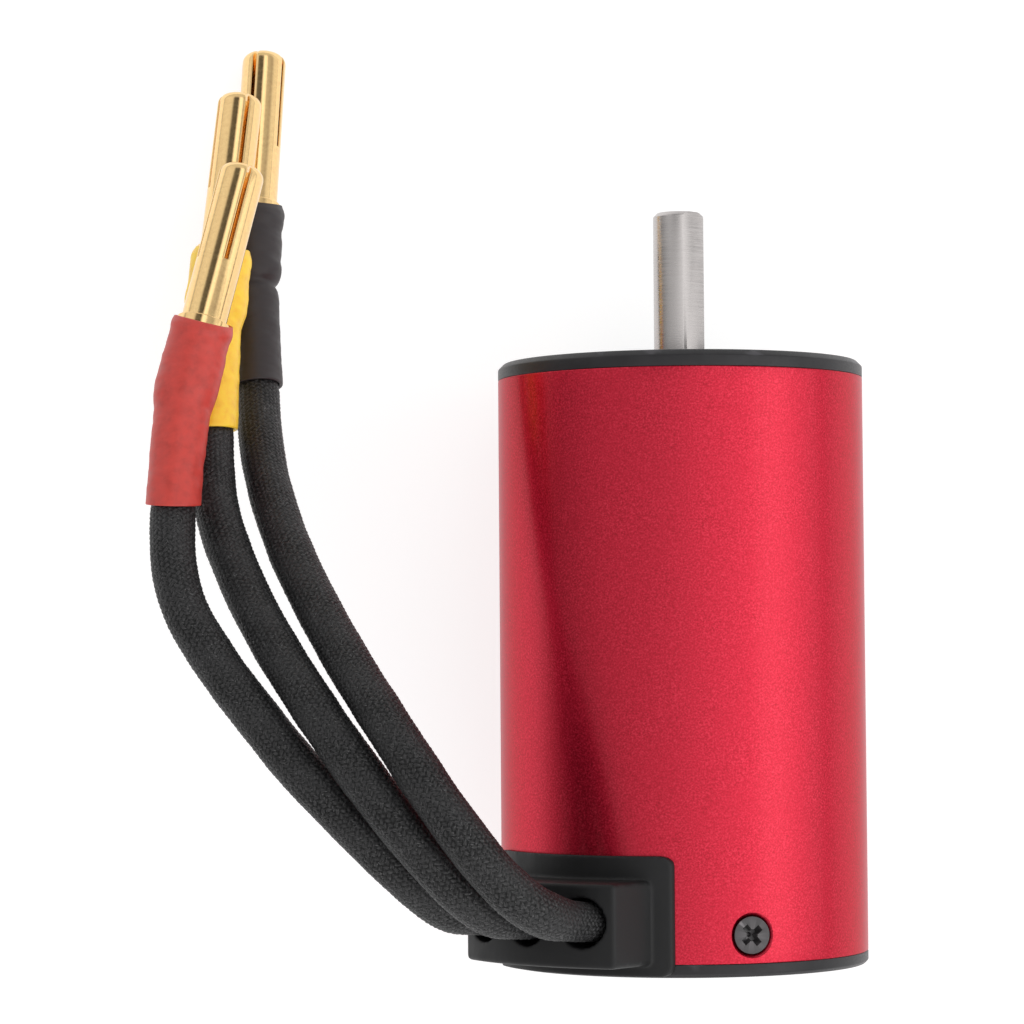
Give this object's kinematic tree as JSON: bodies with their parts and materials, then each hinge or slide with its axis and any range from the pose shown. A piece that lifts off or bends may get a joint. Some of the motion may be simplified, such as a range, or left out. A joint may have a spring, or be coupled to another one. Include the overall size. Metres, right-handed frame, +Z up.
{
  "type": "brushless motor",
  "caption": "Brushless inrunner motor with a red anodised can, D-cut shaft, side lead grommet and sleeved phase leads ending in gold bullet plugs.",
  "frame": {"origin": "centre of the front mounting face, on the shaft axis", "axes": "+Y along the shaft, out of the front face; +Z up with the motor lying on its side; +X across the motor"},
  "size_m": [0.0702, 0.0935, 0.0471],
  "materials": {
    "red_anodised": "bead-blasted and anodised, satin",
    "black_anodised": "anodised, satin",
    "black_steel": "black oxide",
    "lamination_steel": "coated electrical steel",
    "white_insulator": "moulded, matt",
    "slot_paper": "matt",
    "enamelled_copper": "enamelled wire",
    "bare_copper": "tinned",
    "black_rubber": "moulded, matt",
    "silicone_lead": "matt",
    "braided_sleeve": "braided polyester yarn",
    "black_shrink": "shrunk tubing, satin",
    "yellow_shrink": "shrunk tubing, satin",
    "red_shrink": "shrunk tubing, satin",
    "gold_plate": "gold plated, polished",
    "bearing_steel": "polished",
    "ground_steel": "ground",
    "magnet": "nickel plated, satin",
    "rotor_wrap": "non-magnetic steel sleeve, satin",
    "brass": "turned"
  },
  "bodies": {
    "root": {"can": "red_anodised", "front_end_bell": "black_anodised", "rear_end_bell": "black_anodised", "rear_bell_screws": "black_steel", "stator_laminations": "lamination_steel", "front_end_insulator": "white_insulator", "rear_end_insulator": "white_insulator", "slot_liners": "slot_paper", "phase_u_winding": "enamelled_copper", "phase_v_winding": "enamelled_copper", "phase_w_winding": "enamelled_copper", "star_point_bar": "bare_copper", "lead_grommet": "black_rubber", "lead_tails": "silicone_lead", "black_lead": "braided_sleeve", "yellow_lead": "braided_sleeve", "red_lead": "braided_sleeve", "lead_strands": "bare_copper", "black_heat_shrink": "black_shrink", "yellow_heat_shrink": "yellow_shrink", "red_heat_shrink": "red_shrink", "black_bullet": "gold_plate", "yellow_bullet": "gold_plate", "red_bullet": "gold_plate", "front_bearing_outer_ring": "bearing_steel", "front_bearing_shields": "bearing_steel", "rear_bearing_outer_ring": "bearing_steel", "rear_bearing_shields": "bearing_steel", "wave_washer": "bearing_steel"},
    "rotor": {"shaft": "ground_steel", "rotor_hub": "ground_steel", "rotor_magnets": "magnet", "rotor_sleeve": "rotor_wrap", "front_balance_ring": "brass", "rear_balance_ring": "brass", "front_spacer": "ground_steel", "rear_spacer": "ground_steel", "front_bearing_inner_ring": "bearing_steel", "rear_bearing_inner_ring": "bearing_steel"},
    "front_cage": {"front_bearing_balls": "bearing_steel", "front_bearing_cage": "bearing_steel"},
    "rear_cage": {"rear_bearing_balls": "bearing_steel", "rear_bearing_cage": "bearing_steel"}
  },
  "joints": [
    {"name": "rotor_spin", "type": "hinge", "parent": "root", "child": "rotor", "pos_m": [0, 0, 0], "axis": [0, 1, 0], "continuous": true},
    {"name": "front_cage_spin", "type": "hinge", "parent": "root", "child": "front_cage", "pos_m": [0, -0.004, 0], "axis": [0, 1, 0], "continuous": true},
    {"name": "rear_cage_spin", "type": "hinge", "parent": "root", "child": "rear_cage", "pos_m": [0, -0.0556, 0], "axis": [0, 1, 0], "continuous": true}
  ],
  "couplings": [
    {"joint": "front_cage_spin", "follows": "rotor_spin", "ratio": 0.38679},
    {"joint": "rear_cage_spin", "follows": "rotor_spin", "ratio": 0.40066}
  ]
}
